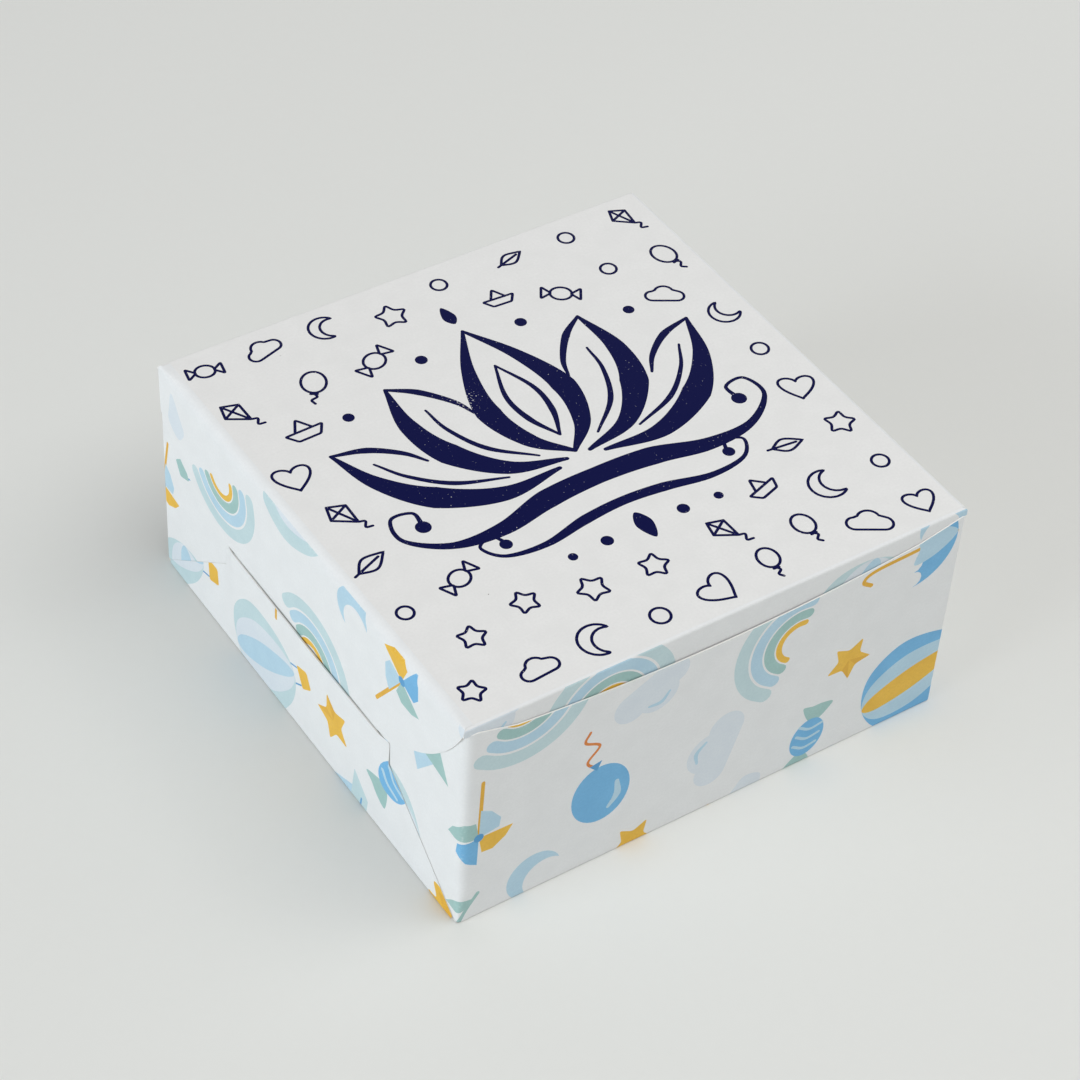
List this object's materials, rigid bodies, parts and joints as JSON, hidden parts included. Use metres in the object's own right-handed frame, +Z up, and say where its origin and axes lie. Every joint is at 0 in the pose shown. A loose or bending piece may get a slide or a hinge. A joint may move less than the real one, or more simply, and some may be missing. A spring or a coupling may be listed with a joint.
{
  "type": "mithai sweet box",
  "caption": "Square folding-carton sweet box: hinged lid with a tuck flap and tongued side flaps, and walls and flaps that fold out flat.",
  "frame": {"origin": "on the table, under the middle of the base panel, at the centre of the underside mount", "axes": "+Z up; +X to the right along the front wall; the front wall, with its low curved top edge, faces -Y and the lid's hinge is at the back, towards +Y"},
  "size_m": [0.15, 0.15, 0.07],
  "materials": {
    "printed_boxboard": "white coated folding boxboard, offset print, matt",
    "lid_boxboard": "white coated folding boxboard with a dark foil print"
  },
  "bodies": {
    "base_panel": {"base_panel": "printed_boxboard"},
    "front_wall": {"front_wall": "printed_boxboard"},
    "back_wall": {"back_wall": "printed_boxboard"},
    "lid_panel": {"lid_panel": "lid_boxboard"},
    "tuck_flap": {"tuck_flap": "printed_boxboard"},
    "lid_left_flap": {"lid_left_flap": "printed_boxboard"},
    "lid_right_flap": {"lid_right_flap": "printed_boxboard"},
    "base_left_flap": {"base_left_flap": "printed_boxboard"},
    "base_right_flap": {"base_right_flap": "printed_boxboard"},
    "front_left_corner_flap": {"front_left_corner_flap": "printed_boxboard"},
    "front_right_corner_flap": {"front_right_corner_flap": "printed_boxboard"},
    "back_left_corner_flap": {"back_left_corner_flap": "printed_boxboard"},
    "back_right_corner_flap": {"back_right_corner_flap": "printed_boxboard"}
  },
  "joints": [
    {"name": "lid_hinge", "type": "hinge", "parent": "back_wall", "child": "lid_panel", "pos_m": [0, 0.0748, 0.0698], "axis": [-1, 0, 0], "range_deg": [0, 120]},
    {"name": "tuck_fold", "type": "hinge", "parent": "lid_panel", "child": "tuck_flap", "pos_m": [0, -0.0744, 0.0698], "axis": [1, 0, 0], "range_deg": [0, 55]},
    {"name": "front_wall_fold", "type": "hinge", "parent": "base_panel", "child": "front_wall", "pos_m": [0, -0.0748, 0.0002], "axis": [1, 0, 0], "range_deg": [0, 90]},
    {"name": "back_wall_fold", "type": "hinge", "parent": "base_panel", "child": "back_wall", "pos_m": [0, 0.0748, 0.0002], "axis": [1, 0, 0], "range_deg": [-90, 0]},
    {"name": "base_left_flap_fold", "type": "hinge", "parent": "base_panel", "child": "base_left_flap", "pos_m": [-0.0748, 0, 0.0002], "axis": [0, -1, 0], "range_deg": [0, 90]},
    {"name": "lid_left_flap_fold", "type": "hinge", "parent": "lid_panel", "child": "lid_left_flap", "pos_m": [-0.0748, 0, 0.0698], "axis": [0, 1, 0], "range_deg": [0, 45]},
    {"name": "base_right_flap_fold", "type": "hinge", "parent": "base_panel", "child": "base_right_flap", "pos_m": [0.0748, 0, 0.0002], "axis": [0, 1, 0], "range_deg": [0, 90]},
    {"name": "lid_right_flap_fold", "type": "hinge", "parent": "lid_panel", "child": "lid_right_flap", "pos_m": [0.0748, 0, 0.0698], "axis": [0, -1, 0], "range_deg": [0, 45]},
    {"name": "front_left_corner_flap_fold", "type": "hinge", "parent": "front_wall", "child": "front_left_corner_flap", "pos_m": [-0.07406, -0.0748, 0.0002], "axis": [0, 0, -1], "range_deg": [0, 60]},
    {"name": "front_right_corner_flap_fold", "type": "hinge", "parent": "front_wall", "child": "front_right_corner_flap", "pos_m": [0.07406, -0.0748, 0.0002], "axis": [0, 0, 1], "range_deg": [0, 60]},
    {"name": "back_left_corner_flap_fold", "type": "hinge", "parent": "back_wall", "child": "back_left_corner_flap", "pos_m": [-0.07406, 0.0748, 0.0002], "axis": [0, 0, 1], "range_deg": [0, 60]},
    {"name": "back_right_corner_flap_fold", "type": "hinge", "parent": "back_wall", "child": "back_right_corner_flap", "pos_m": [0.07406, 0.0748, 0.0002], "axis": [0, 0, -1], "range_deg": [0, 60]}
  ],
  "couplings": [
    {"joint": "lid_left_flap_fold", "follows": "base_left_flap_fold", "ratio": 0.5},
    {"joint": "lid_right_flap_fold", "follows": "base_right_flap_fold", "ratio": 0.5}
  ]
}
